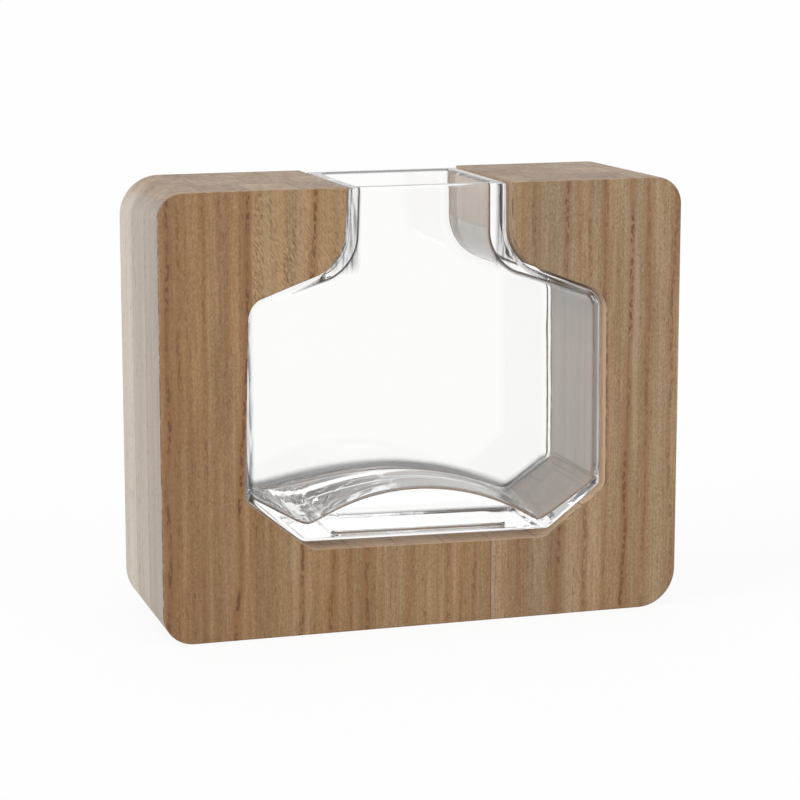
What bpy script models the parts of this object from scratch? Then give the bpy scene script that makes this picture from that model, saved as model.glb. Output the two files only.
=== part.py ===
"""A clear glass bottle vase that stands in a bottle-shaped cut through a glued-up wooden block.

The block is three layers of upright staves, glued edge to edge. Each stave is an object of its own, and a
stave that the cut divides is two. The glass vase slides out of the cut along Y, to the front or to the back.
Lengths are in metres, +X is to the right of the front, +Y to the back and +Z up. The origin is the middle of
the block's underside.
"""

import math

import bmesh
import bpy
from mathutils import Vector

MM = 0.001

# Block
BLOCK_WIDTH = 170.0 * MM
BLOCK_HEIGHT = 140.0 * MM
BLOCK_DEPTH = 55.0 * MM
BLOCK_CORNER_RADIUS = 11.0 * MM

# Staves
LAYER_NAMES = ("front", "middle", "back")
FRONT_SHIFT = -2.85 * MM
MIDDLE_SHIFT = 1.65 * MM
BACK_SHIFT = -3.35 * MM
FLOOR_STAVES = 3
DIVIDED_STAVES = 2
SIDE_STAVES = 2
LEDGE = 5.25 * MM
GLUE_LINE = 0.3 * MM

# Cut through the block. It isn't quite even: each of its levels has a shift, which is how far to the right of the
# block's middle it lies, and a tilt, which is how far it drops per length to the right.
CUT_OFFSET = 1.1 * MM
CUT_SHIFTS = {"rim": 1.4 * MM, "neck": 0.7 * MM, "shoulder": 1.5 * MM, "side": 0.9 * MM, "floor": 1.2 * MM}
FLOOR_TILT = 0.0183
CUT_TILTS = {"rim": 0.0, "neck": 0.0, "shoulder": 0.0147, "side": 0.0218, "floor": FLOOR_TILT}
RIM_CUT_WIDTH = 53.3 * MM
NECK_CUT_WIDTH = 54.7 * MM
SHOULDER_CUT_WIDTH = 116.9 * MM
BODY_CUT_WIDTH = 119.0 * MM
FLOOR_CUT_WIDTH = 77.8 * MM
NECK_CUT_LENGTH = 24.0 * MM
SHOULDER_DROP = 11.55 * MM
CHAMFER_RISE = 16.0 * MM
CUT_FLOOR = 26.7 * MM
NECK_CUT_RADIUS = 13.8 * MM
SHOULDER_CUT_RADIUS = 7.0 * MM
SIDE_CUT_RADIUS = 4.0 * MM
FLOOR_CUT_RADIUS = 7.0 * MM

# Room between the glass and the wood
SIDE_CLEARANCE = 0.75 * MM
SEAT_GAP = 0.3 * MM
FLOOR_GAP = 1.8 * MM
RIM_DROP = 0.4 * MM
FACE_RECESS = 2.25 * MM

# Glass outside
GLASS_EDGE_RADIUS = 1.8 * MM
RIM_RADIUS = 1.0 * MM
BASE_CORNER_RADIUS = 3.5 * MM
PUNT_MARGIN = 12.0 * MM
PUNT_HEIGHT = 1.3 * MM
PUNT_CORNER_RADIUS = 3.0 * MM

# Glass inside. The shoulders' wall grows thicker towards the neck by NECK_THICKENING.
NECK_WALL = 4.45 * MM
SHOULDER_WALL = 0.8 * MM
NECK_THICKENING = 2.2 * MM
SIDE_WALL = 1.05 * MM
CHAMFER_WALL = 1.25 * MM
FACE_WALL = 4.2 * MM
FRONT_INNER_RADIUS = 1.5 * MM
BACK_INNER_RADIUS = 2.5 * MM
INNER_NECK_RADIUS = 13.5 * MM
INNER_SHOULDER_RADIUS = 6.0 * MM
INNER_SIDE_RADIUS = 4.0 * MM

# Floor of the hollow: a dome between two valleys, where it meets the slanted corners
CHAMFER_LAND = 5.3 * MM
VALLEY_INSET = 2.35 * MM
VALLEY_THICKNESS = 2.45 * MM
VALLEY_TILT = 0.048
VALLEY_BLEND = 2.2 * MM
BACK_VALLEY_SPREAD = (7.6 * MM, 3.3 * MM)
DOME_FRONT_THICKNESS = 14.4 * MM
DOME_BACK_THICKNESS = 14.2 * MM
DOME_FRONT_SHIFT = -3.65 * MM
DOME_BACK_SHIFT = -4.65 * MM

# How finely round shapes are drawn
NECK_STEPS = 9
CORNER_STEPS = 6
FLOOR_STEPS = 40
ROUND_STEPS = 4
SMOOTH_ANGLE = math.radians(35.0)
LEAST_RADIUS = 0.3 * MM
STRAIGHT = math.radians(0.01)

# How far a cutting shape runs past what it cuts
OVERRUN = 8.0 * MM

half_width = BLOCK_WIDTH / 2
half_depth = BLOCK_DEPTH / 2
rim_growth = OVERRUN / NECK_CUT_LENGTH
half_rim = (RIM_CUT_WIDTH + (RIM_CUT_WIDTH - NECK_CUT_WIDTH) * rim_growth) / 2
half_neck = NECK_CUT_WIDTH / 2
half_shoulder = SHOULDER_CUT_WIDTH / 2
half_body = BODY_CUT_WIDTH / 2
half_floor = FLOOR_CUT_WIDTH / 2
neck_corner = BLOCK_HEIGHT - NECK_CUT_LENGTH
shoulder_corner = neck_corner - SHOULDER_DROP
side_corner = CUT_FLOOR + CHAMFER_RISE
divide = (shoulder_corner + side_corner) / 2
staves_across = FLOOR_STAVES + 2 * DIVIDED_STAVES
stave_width = (BODY_CUT_WIDTH - 2 * LEDGE) / staves_across
glass_base = CUT_FLOOR + FLOOR_GAP
glass_half_depth = half_depth - FACE_RECESS


class Corner:
    """A corner of an outline: its name, its place in X and Z, its fillet radius and the steps in the fillet."""

    def __init__(self, name, x, z, radius=0.0, steps=1):
        self.name = name
        self.x = x
        self.z = z
        self.radius = radius
        self.steps = steps

    def point(self):
        return Vector((self.x, self.z))


def mirrored(right):
    """The whole outline from its right half, which is listed from the top down."""
    left = [Corner(c.name, -c.x, c.z, c.radius, c.steps) for c in reversed(right)]
    return right + left


def turn(before, here, after):
    """The signed angle through which an outline turns at a corner, positive to the left."""
    a = (here - before).normalized()
    b = (after - here).normalized()
    return math.atan2(a.x * b.y - a.y * b.x, a.dot(b))


def neighbours(items, i):
    return items[i - 1], items[i], items[(i + 1) % len(items)]


def moved_in(corners, distances):
    """The corners with each side moved towards the inside by its own distance.

    The outline runs clockwise seen from the front, and side i goes from corner i to the next. A fillet keeps its
    middle, so an outer radius shrinks and an inner one grows. A sharp corner stays sharp.
    """
    moved = []
    for i, corner in enumerate(corners):
        before, here, after = (c.point() for c in neighbours(corners, i))
        a = (here - before).normalized()
        b = (after - here).normalized()
        inward_a = Vector((a.y, -a.x))
        inward_b = Vector((b.y, -b.x))
        da, db = distances[i - 1], distances[i]
        det = inward_a.x * inward_b.y - inward_a.y * inward_b.x
        if abs(det) < STRAIGHT:
            shift = inward_a * (da + db) / 2
        else:
            shift = Vector(
                (
                    (da * inward_b.y - db * inward_a.y) / det,
                    (db * inward_a.x - da * inward_b.x) / det,
                )
            )
        outer = turn(before, here, after) < 0
        step = (da + db) / 2
        radius = corner.radius - step if outer else corner.radius + step
        radius = max(radius, min(corner.radius, LEAST_RADIUS)) if corner.radius > 0.0 else 0.0
        place = here + shift
        moved.append(Corner(corner.name, place.x, place.y, radius, corner.steps))
    return moved


def filleted(corners):
    """The points of an outline with its corners rounded, each fillet limited by the sides it lies on."""
    reach = []
    for i, corner in enumerate(corners):
        before, here, after = (c.point() for c in neighbours(corners, i))
        reach.append(corner.radius * math.tan(abs(turn(before, here, after)) / 2))
    fit = [1.0] * len(corners)
    for i, corner in enumerate(corners):
        j = (i + 1) % len(corners)
        length = (corners[j].point() - corner.point()).length
        need = reach[i] + reach[j]
        if need > length:
            fit[i] = min(fit[i], length / need)
            fit[j] = min(fit[j], length / need)
    points = []
    for i, corner in enumerate(corners):
        before, here, after = (c.point() for c in neighbours(corners, i))
        angle = turn(before, here, after)
        radius = corner.radius * fit[i]
        if radius == 0.0 or abs(angle) < STRAIGHT:
            points.append(here)
            continue
        a = (here - before).normalized()
        side = 1.0 if angle > 0 else -1.0
        start = here - a * reach[i] * fit[i]
        centre = start + Vector((-a.y, a.x)) * side * radius
        spoke = start - centre
        for k in range(corner.steps + 1):
            t = angle * k / corner.steps
            c, s = math.cos(t), math.sin(t)
            points.append(centre + Vector((spoke.x * c - spoke.y * s, spoke.x * s + spoke.y * c)))
    return points


def loft(name, loops):
    """A closed solid through loops of points in X and Z, each given with its place along Y, front to back."""
    bm = bmesh.new()
    rings = [[bm.verts.new((p.x, y, p.y)) for p in points] for y, points in loops]
    count = len(rings[0])
    for front, back in zip(rings, rings[1:]):
        for i in range(count):
            j = (i + 1) % count
            bm.faces.new((front[i], front[j], back[j], back[i]))
    bm.faces.new(rings[0])
    bm.faces.new(rings[-1])
    bmesh.ops.recalc_face_normals(bm, faces=bm.faces[:])
    mesh = bpy.data.meshes.new(name)
    bm.to_mesh(mesh)
    bm.free()
    obj = bpy.data.objects.new(name, mesh)
    bpy.context.scene.collection.objects.link(obj)
    return obj


def prism(name, corners, front, back):
    points = filleted(corners)
    return loft(name, [(front, points), (back, points)])


def box(name, low, high):
    bm = bmesh.new()
    bmesh.ops.create_cube(bm, size=1.0)
    size = Vector(high) - Vector(low)
    middle = (Vector(high) + Vector(low)) / 2
    bmesh.ops.scale(bm, vec=size, verts=bm.verts[:])
    bmesh.ops.translate(bm, vec=middle, verts=bm.verts[:])
    mesh = bpy.data.meshes.new(name)
    bm.to_mesh(mesh)
    bm.free()
    obj = bpy.data.objects.new(name, mesh)
    bpy.context.scene.collection.objects.link(obj)
    return obj


def as_cutter(obj):
    obj.hide_render = True
    obj.display_type = "WIRE"
    return obj


def boolean(obj, cutter, operation):
    modifier = obj.modifiers.new(cutter.name, "BOOLEAN")
    modifier.object = cutter
    modifier.operation = operation
    modifier.solver = "EXACT"


def shade_round(obj):
    obj.data.shade_smooth()
    obj.data.set_sharp_from_angle(angle=SMOOTH_ANGLE)


def material(name, colour, roughness, transmission=0.0, ior=1.5):
    made = bpy.data.materials.new(name)
    made.use_nodes = True
    shader = made.node_tree.nodes["Principled BSDF"]
    shader.inputs["Base Color"].default_value = (*colour, 1.0)
    shader.inputs["Roughness"].default_value = roughness
    shader.inputs["Metallic"].default_value = 0.0
    shader.inputs["Transmission Weight"].default_value = transmission
    shader.inputs["IOR"].default_value = ior
    made.diffuse_color = (*colour, 1.0)
    return made


def cut_corners():
    """The outline of the cut, clockwise from above the block's top on the right. Its top side stays level."""
    right = [
        Corner("rim", half_rim, BLOCK_HEIGHT + OVERRUN),
        Corner("neck", half_neck, neck_corner, NECK_CUT_RADIUS, NECK_STEPS),
        Corner("shoulder", half_shoulder, shoulder_corner, SHOULDER_CUT_RADIUS, CORNER_STEPS),
        Corner("side", half_body, side_corner, SIDE_CUT_RADIUS, CORNER_STEPS),
        Corner("floor", half_floor, CUT_FLOOR, FLOOR_CUT_RADIUS, CORNER_STEPS),
    ]
    corners = mirrored(right)
    for corner in corners:
        corner.z -= CUT_TILTS[corner.name] * corner.x
        corner.x += CUT_SHIFTS[corner.name]
    return corners


def rectangle(left, right, low, high, radius, steps):
    """A rectangle with rounded corners."""
    return [
        Corner("high right", right, high, radius, steps),
        Corner("low right", right, low, radius, steps),
        Corner("low left", left, low, radius, steps),
        Corner("high left", left, high, radius, steps),
    ]


def around(top, neck, shoulder, side, chamfer, floor):
    """The distances of the ten sides of the bottle outline, from the neck's right side clockwise."""
    return [neck, shoulder, side, chamfer, floor, chamfer, side, shoulder, neck, top]


def glass_corners():
    """The outline of the glass vase, set in from the cut by the room on each side."""
    corners = moved_in(
        cut_corners(),
        around(
            top=OVERRUN + RIM_DROP,
            neck=SIDE_CLEARANCE,
            shoulder=SIDE_CLEARANCE,
            side=SIDE_CLEARANCE,
            chamfer=SEAT_GAP,
            floor=FLOOR_GAP,
        ),
    )
    for corner in corners:
        if corner.name == "floor":
            corner.radius = BASE_CORNER_RADIUS
        elif corner.name == "rim":
            corner.radius = RIM_RADIUS
            corner.steps = ROUND_STEPS
    return corners


def cavity_corners(depth):
    """The outline of the hollow at a place from 0 at the front to 1 at the back."""
    walls = moved_in(
        glass_corners(),
        around(
            top=-OVERRUN,
            neck=NECK_WALL,
            shoulder=SHOULDER_WALL,
            side=SIDE_WALL,
            chamfer=CHAMFER_WALL,
            floor=0.0,
        ),
    )
    for corner in walls:
        if corner.name == "rim":
            corner.radius = 0.0
            corner.steps = 1
        elif corner.name == "neck":
            corner.z -= NECK_THICKENING
            corner.radius = INNER_NECK_RADIUS
        elif corner.name == "shoulder":
            corner.radius = INNER_SHOULDER_RADIUS
        elif corner.name == "side":
            corner.radius = INNER_SIDE_RADIUS
    right = [corner for corner in walls[: len(walls) // 2] if corner.name != "floor"]
    left = [corner for corner in walls[len(walls) // 2 :] if corner.name != "floor"]
    return right + floor_corners(left[0].point(), right[-1].point(), depth) + left


def floor_corners(left_side, right_side, depth):
    """The floor of the hollow from right to left, between the lower ends of the hollow's sides."""
    left_valley, right_valley = valleys()
    front, back = (
        dome_heights(left_side, right_side, left_valley, right_valley, spread, shift, thickness)
        for spread, shift, thickness in (
            ((0.0, 0.0), DOME_FRONT_SHIFT, DOME_FRONT_THICKNESS),
            (BACK_VALLEY_SPREAD, DOME_BACK_SHIFT, DOME_BACK_THICKNESS),
        )
    )
    start = right_side.x - CHAMFER_LAND
    end = left_side.x + CHAMFER_LAND
    floor = []
    for k in range(FLOOR_STEPS + 1):
        x = start + (end - start) * k / FLOOR_STEPS
        floor.append(Corner("dome", x, front(x) * (1 - depth) + back(x) * depth))
    return floor


def valleys():
    """Where the dome would meet the slanted corners at the front without the blend, on the left and the right."""
    right, left = (corner.point() for corner in glass_corners() if corner.name == "floor")
    places = []
    for base, inset in ((left, VALLEY_INSET), (right, -VALLEY_INSET)):
        x = base.x + inset
        places.append(Vector((x, glass_base + VALLEY_THICKNESS - VALLEY_TILT * (x - CUT_OFFSET))))
    return places


def dome_heights(left_side, right_side, left_valley, right_valley, spread, shift, thickness):
    """The floor's height as a function of X: an arc on each side of the dome's top, blended into the slants.

    The valleys move outwards along the slanted corners by the spread, which has a value for each side.
    """
    top = Vector((CUT_OFFSET + shift, glass_base - FLOOR_TILT * shift + thickness))

    def height(x):
        if x < top.x:
            side, valley, foot_x = left_side, left_valley, left_valley.x - spread[0]
        else:
            side, valley, foot_x = right_side, right_valley, right_valley.x + spread[1]
        slope = (side.y - valley.y) / (side.x - valley.x)
        run = foot_x - top.x
        drop = top.y - valley.y - slope * (foot_x - valley.x)
        radius = (run**2 + drop**2) / (2 * drop)
        slant = valley.y + slope * (x - valley.x)
        arc = top.y - radius + math.sqrt(max(radius**2 - (x - top.x) ** 2, 0.0))
        return (slant + arc + math.hypot(slant - arc, VALLEY_BLEND)) / 2

    return height


def rounded_loops(corners_at, front, back, front_radius, back_radius):
    """Loops from front to back whose ends are drawn in by a quarter round of the given radii."""
    loops = []
    for radius, edge, into in ((front_radius, front, 1.0), (back_radius, back, -1.0)):
        part = []
        for k in range(ROUND_STEPS + 1):
            t = math.pi / 2 * k / ROUND_STEPS
            y = edge + into * radius * (1 - math.sin(t))
            inset = radius * (1 - math.cos(t))
            corners = corners_at((y - front) / (back - front))
            part.append((y, filleted(moved_in(corners, [inset] * len(corners)))))
        loops.append(part)
    return list(reversed(loops[0])) + loops[1]


def make_glass(glass_material):
    """The vase: its body, less the hollow, less the shallow punt under its base."""
    body = loft(
        "glass_vase",
        rounded_loops(
            lambda t: glass_corners(),
            -glass_half_depth,
            glass_half_depth,
            GLASS_EDGE_RADIUS,
            GLASS_EDGE_RADIUS,
        ),
    )
    inner = glass_half_depth - FACE_WALL
    hollow = as_cutter(
        loft(
            "hollow_cutter",
            rounded_loops(
                cavity_corners,
                -inner,
                inner,
                FRONT_INNER_RADIUS,
                BACK_INNER_RADIUS,
            ),
        )
    )
    right, left = (corner.x for corner in glass_corners() if corner.name == "floor")
    punt_depth = glass_half_depth - PUNT_MARGIN
    plan = filleted(
        rectangle(left + PUNT_MARGIN, right - PUNT_MARGIN, -punt_depth, punt_depth, PUNT_CORNER_RADIUS, ROUND_STEPS)
    )
    punt = as_cutter(under_base("punt_cutter", plan, glass_base - OVERRUN, glass_base + PUNT_HEIGHT))
    boolean(body, hollow, "DIFFERENCE")
    boolean(body, punt, "DIFFERENCE")
    shade_round(body)
    body.data.materials.append(glass_material)
    return body


def under_base(name, points, low, high):
    """A solid of the given plan, its points in X and Y, between two heights and tilted as the glass is."""
    bm = bmesh.new()
    bottom = [bm.verts.new((p.x, p.y, low - FLOOR_TILT * (p.x - CUT_SHIFTS["floor"]))) for p in points]
    face = bm.faces.new(bottom)
    grown = bmesh.ops.extrude_face_region(bm, geom=[face])
    top = [v for v in grown["geom"] if isinstance(v, bmesh.types.BMVert)]
    bmesh.ops.translate(bm, vec=(0.0, 0.0, high - low), verts=top)
    bmesh.ops.recalc_face_normals(bm, faces=bm.faces[:])
    mesh = bpy.data.meshes.new(name)
    bm.to_mesh(mesh)
    bm.free()
    obj = bpy.data.objects.new(name, mesh)
    bpy.context.scene.collection.objects.link(obj)
    return obj


def stave_joints(shift):
    """The edges of a layer's staves along X, from left to right.

    The staves that the cut divides, and those under its neck, have one width. They stop LEDGE short of the cut's
    sides, more or less the layer's shift, and the staves beside them share the rest of the block evenly.
    """
    first = CUT_OFFSET + shift - stave_width * staves_across / 2
    inner = [first + stave_width * k for k in range(staves_across + 1)]
    left_step = (inner[0] + half_width) / SIDE_STAVES
    right_step = (half_width - inner[-1]) / SIDE_STAVES
    left = [inner[0] - left_step * k for k in range(SIDE_STAVES - 1, 0, -1)]
    right = [inner[-1] + right_step * k for k in range(1, SIDE_STAVES)]
    return [-half_width - OVERRUN, *left, *inner, *right, half_width + OVERRUN]


def stave_pieces(edges):
    """The pieces of a layer's staves: each name ending with its left, right, lowest and highest place.

    The piece over the cut that is next to the neck runs up to the neck's wall, whichever stave is below it.
    """
    bottom = -OVERRUN
    top = BLOCK_HEIGHT + OVERRUN
    count = len(edges) - 1
    pieces = []
    for number, (left, right) in enumerate(zip(edges, edges[1:]), start=1):
        from_end = min(number, count + 1 - number)
        if from_end <= SIDE_STAVES:
            pieces.append((f"{number:02d}", left, right, bottom, top))
            continue
        pieces.append((f"{number:02d}_lower", left, right, bottom, divide))
        if from_end < SIDE_STAVES + DIVIDED_STAVES:
            pieces.append((f"{number:02d}_upper", left, right, divide, top))
        elif from_end == SIDE_STAVES + DIVIDED_STAVES:
            low, high = (left, CUT_OFFSET) if number == from_end else (CUT_OFFSET, right)
            pieces.append((f"{number:02d}_upper", low, high, divide, top))
    return pieces


def make_staves(stave_material):
    """Every stave of the three layers, cut to the block's outline and around the vase."""
    outline = as_cutter(
        prism(
            "block_outline",
            rectangle(-half_width, half_width, 0.0, BLOCK_HEIGHT, BLOCK_CORNER_RADIUS, CORNER_STEPS),
            -half_depth - OVERRUN,
            half_depth + OVERRUN,
        )
    )
    cutter = as_cutter(
        prism("bottle_cutter", cut_corners(), -half_depth - OVERRUN, half_depth + OVERRUN)
    )
    layer_depth = BLOCK_DEPTH / len(LAYER_NAMES)
    for layer, (name, shift) in enumerate(zip(LAYER_NAMES, (FRONT_SHIFT, MIDDLE_SHIFT, BACK_SHIFT))):
        front = -half_depth + layer * layer_depth + (GLUE_LINE / 2 if layer > 0 else 0.0)
        back = -half_depth + (layer + 1) * layer_depth
        back -= GLUE_LINE / 2 if layer < len(LAYER_NAMES) - 1 else 0.0
        for ending, left, right, low, high in stave_pieces(stave_joints(shift)):
            stave = box(
                f"{name}_stave_{ending}",
                (left + GLUE_LINE / 2, front, low),
                (right - GLUE_LINE / 2, back, high),
            )
            boolean(stave, outline, "INTERSECT")
            boolean(stave, cutter, "DIFFERENCE")
            shade_round(stave)
            stave.data.materials.append(stave_material)


def main():
    for obj in list(bpy.data.objects):
        bpy.data.objects.remove(obj, do_unlink=True)
    make_staves(material("wood", (0.33, 0.22, 0.13), roughness=0.6))
    make_glass(material("clear_glass", (0.95, 0.97, 0.97), roughness=0.02, transmission=1.0, ior=1.5))


main()
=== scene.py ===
"""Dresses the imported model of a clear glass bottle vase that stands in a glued-up wooden block.

The block is modelled once, with its bottle-shaped cut, and sliced into the staves that it is glued
up from. The glass vase is an outer and an inner shell that meet at the rim. Every finish is
procedural.
"""

import logging
import math
import random
from contextlib import contextmanager
from dataclasses import dataclass, replace
from enum import Enum
from typing import Any, Callable, Iterator

import bmesh
import bpy
from bmesh.types import BMEdge, BMVert
from bpy.types import ID, Material, Node, NodeSocket, NodeTree, Object
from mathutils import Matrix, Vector
from mathutils.geometry import intersect_line_line


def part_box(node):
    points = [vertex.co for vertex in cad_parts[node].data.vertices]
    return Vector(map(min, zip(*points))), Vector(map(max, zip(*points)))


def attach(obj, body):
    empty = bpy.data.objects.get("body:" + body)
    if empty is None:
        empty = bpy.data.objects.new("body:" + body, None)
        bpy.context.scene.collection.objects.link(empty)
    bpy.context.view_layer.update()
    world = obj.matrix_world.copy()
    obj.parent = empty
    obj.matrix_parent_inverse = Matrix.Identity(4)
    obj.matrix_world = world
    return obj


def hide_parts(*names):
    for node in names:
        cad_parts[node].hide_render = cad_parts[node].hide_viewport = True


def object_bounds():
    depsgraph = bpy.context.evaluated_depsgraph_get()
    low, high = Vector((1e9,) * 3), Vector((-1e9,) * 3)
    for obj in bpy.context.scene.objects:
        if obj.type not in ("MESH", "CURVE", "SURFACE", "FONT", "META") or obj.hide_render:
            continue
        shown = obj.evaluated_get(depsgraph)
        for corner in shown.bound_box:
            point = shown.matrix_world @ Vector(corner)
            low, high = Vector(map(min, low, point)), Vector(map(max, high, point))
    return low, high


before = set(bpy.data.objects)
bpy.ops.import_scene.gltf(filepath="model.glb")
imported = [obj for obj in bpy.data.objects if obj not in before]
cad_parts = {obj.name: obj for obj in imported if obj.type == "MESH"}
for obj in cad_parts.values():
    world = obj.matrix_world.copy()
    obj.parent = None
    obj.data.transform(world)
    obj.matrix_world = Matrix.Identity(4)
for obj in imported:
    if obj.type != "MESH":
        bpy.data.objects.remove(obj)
cad_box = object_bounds()

log = logging.getLogger("vase")

Triple = tuple[float, float, float]
Pair = tuple[float, float]

MM = 0.001
NOWHERE = (0.0, 0.0, 0.0)
WHITE = (1.0, 1.0, 1.0)
LINES_PER_STAVE = 3


class Layer(Enum):
    """One of the three glued layers of the block, named as its nodes are."""

    FRONT = "front"
    MIDDLE = "middle"
    BACK = "back"


class Span(Enum):
    """How much of the block's height a stave covers."""

    WHOLE = "whole"
    LOWER = "lower"
    UPPER = "upper"


# Modelling


class Bench:
    """One piece of work, started from a cube and shaped in edit mode with Blender's own tools.

    Attributes:
        obj: The object being shaped. It sits at the world's origin, so its place is in its mesh.
    """

    def __init__(self, obj: Object) -> None:
        """Take up a mesh object that sits at the origin."""
        self.obj = obj

    @classmethod
    def cube(cls, name: str, low: Vector, high: Vector) -> "Bench":
        """Start a piece from a cube.

        Args:
            name: The piece's name.
            low: The cube's lowest corner.
            high: The cube's highest corner.

        Returns:
            The bench that holds the new piece.
        """
        bpy.ops.object.select_all(action="DESELECT")
        bpy.ops.mesh.primitive_cube_add(size=1.0, location=(low + high) / 2)
        obj = bpy.context.object
        obj.name = name
        obj.data.name = name
        obj.scale = high - low
        bpy.ops.object.transform_apply(location=True, rotation=True, scale=True)
        return cls(obj)

    def copy(self, name: str) -> "Bench":
        """Copy the piece, with a mesh of its own.

        Args:
            name: The copy's name.

        Returns:
            The bench that holds the copy.
        """
        obj = self.obj.copy()
        obj.data = self.obj.data.copy()
        obj.name = name
        obj.data.name = name
        bpy.context.scene.collection.objects.link(obj)
        return Bench(obj)

    def take(self) -> None:
        """Select this piece alone and make it the active one."""
        bpy.ops.object.select_all(action="DESELECT")
        self.obj.select_set(True)
        bpy.context.view_layer.objects.active = self.obj

    @contextmanager
    def editing(self) -> Iterator[None]:
        """Hold the piece in edit mode, and leave that mode at the end.

        Yields:
            Nothing. The edits are made meanwhile.
        """
        self.take()
        bpy.ops.object.mode_set(mode="EDIT")
        yield
        bpy.ops.object.mode_set(mode="OBJECT")

    def pick(self, kind: str, test: Callable[[Any], bool]) -> None:
        """Select exactly the vertices, edges or faces that pass a test.

        Args:
            kind: VERT, EDGE or FACE.
            test: Says whether an element of the edit mesh is wanted.

        Raises:
            ValueError: Nothing passes the test.
        """
        bpy.ops.mesh.select_mode(type=kind)
        bpy.ops.mesh.select_all(action="DESELECT")
        mesh = bmesh.from_edit_mesh(self.obj.data)
        elements = {"VERT": mesh.verts, "EDGE": mesh.edges, "FACE": mesh.faces}[kind]
        chosen = [element for element in elements if test(element)]
        if not chosen:
            raise ValueError(f"{self.obj.name}: no {kind.lower()} passes the test")
        for element in chosen:
            element.select_set(True)
        mesh.select_flush_mode()
        bmesh.update_edit_mesh(self.obj.data)

    def extrude(self, along: Vector) -> None:
        """Extrude what is selected, as far and the way that a vector says."""
        bpy.ops.mesh.extrude_region_move(TRANSFORM_OT_translate={"value": along})

    def round_off(self, width: float, segments: int) -> None:
        """Bevel the selected edges.

        Args:
            width: How far from each edge its round reaches along the faces.
            segments: How many faces make the round.
        """
        bpy.ops.mesh.bevel(
            offset_type="OFFSET",
            offset=width,
            segments=segments,
            profile=0.5,
            affect="EDGES",
            clamp_overlap=False,
            loop_slide=False,
        )

    def slice_off(self, point: Vector, normal: Vector) -> None:
        """Cut off the side of the piece to which a plane's normal points, and close it there."""
        bpy.ops.mesh.select_all(action="SELECT")
        bpy.ops.mesh.bisect(plane_co=point, plane_no=normal, use_fill=True, clear_outer=True)

    def cut_with(self, tool: "Bench") -> None:
        """Take another piece's shape out of this one, and remove the other piece.

        Args:
            tool: The piece that is used up.
        """
        self.take()
        bpy.ops.object.modifier_add(type="BOOLEAN")
        modifier = self.obj.modifiers[-1]
        modifier.object = tool.obj
        modifier.operation = "DIFFERENCE"
        modifier.solver = "EXACT"
        bpy.ops.object.modifier_apply(modifier=modifier.name)
        bpy.data.objects.remove(tool.obj, do_unlink=True)

    def dress(self, finish: Material, sharpest: float) -> None:
        """Give the finished piece its material, shade it with flat faces kept flat, and report it.

        Args:
            finish: The material.
            sharpest: Edges that turn more than this angle, in degrees, stay sharp.
        """
        self.obj.data.materials.clear()
        self.obj.data.materials.append(finish)
        self.take()
        bpy.ops.object.shade_smooth_by_angle(angle=math.radians(sharpest))
        bpy.ops.object.modifier_add(type="WEIGHTED_NORMAL")
        modifier = self.obj.modifiers[-1]
        modifier.keep_sharp = True
        modifier.weight = 100
        bpy.ops.object.modifier_apply(modifier=modifier.name)
        log.info("%s: %d faces", self.obj.name, len(self.obj.data.polygons))


def near(value: float, target: float, margin: float = 0.01 * MM) -> bool:
    """Whether two lengths are the same but for rounding."""
    return abs(value - target) < margin


def runs_along_y(edge: BMEdge) -> bool:
    """Whether an edge runs from front to back."""
    a, b = (vertex.co for vertex in edge.verts)
    return near(a.x, b.x) and near(a.z, b.z)


def is_level(edge: BMEdge, height: float) -> bool:
    """Whether both ends of an edge lie at a height."""
    return all(near(vertex.co.z, height) for vertex in edge.verts)


def turns(edge: BMEdge, angle: float) -> bool:
    """Whether the surface turns by more than an angle at an edge, in degrees."""
    return edge.calc_face_angle(0.0) > math.radians(angle)


class Level(Enum):
    """A pair of corners of a bottle's outline, one on the left and one on the right."""

    RIM = "rim"
    NECK = "neck"
    SHOULDER = "shoulder"
    SIDE = "side"
    FLOOR = "floor"


@dataclass(frozen=True)
class Corner:
    """A corner of an outline seen from the front.

    Attributes:
        x: Its place along X.
        z: Its height.
        radius: The radius of its round.
        segments: How many faces make the round.
    """

    x: float
    z: float
    radius: float = 0.0
    segments: int = 0

    @property
    def place(self) -> Vector:
        """The corner's place, with Y at 0."""
        return Vector((self.x, 0.0, self.z))


Half = dict[Level, Corner]


@dataclass(frozen=True)
class Inset:
    """How far each side of an outline lies inside the outline around it, in millimetres.

    Attributes:
        neck: The distance at the neck.
        shoulder: The distance at the shoulders.
        side: The distance at the sides.
        chamfer: The distance at the slanted corners.
        floor: The distance at the floor.
        radii: The new rounds of the corners, from the neck downwards.
    """

    neck: float
    shoulder: float
    side: float
    chamfer: float
    floor: float
    radii: tuple[float, ...]

    def radius(self, level: Level, usual: float) -> float:
        """The radius of a level's corners, or the usual one where there is no new one."""
        return dict(zip(list(Level)[1:], (radius * MM for radius in self.radii))).get(level, usual)


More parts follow.
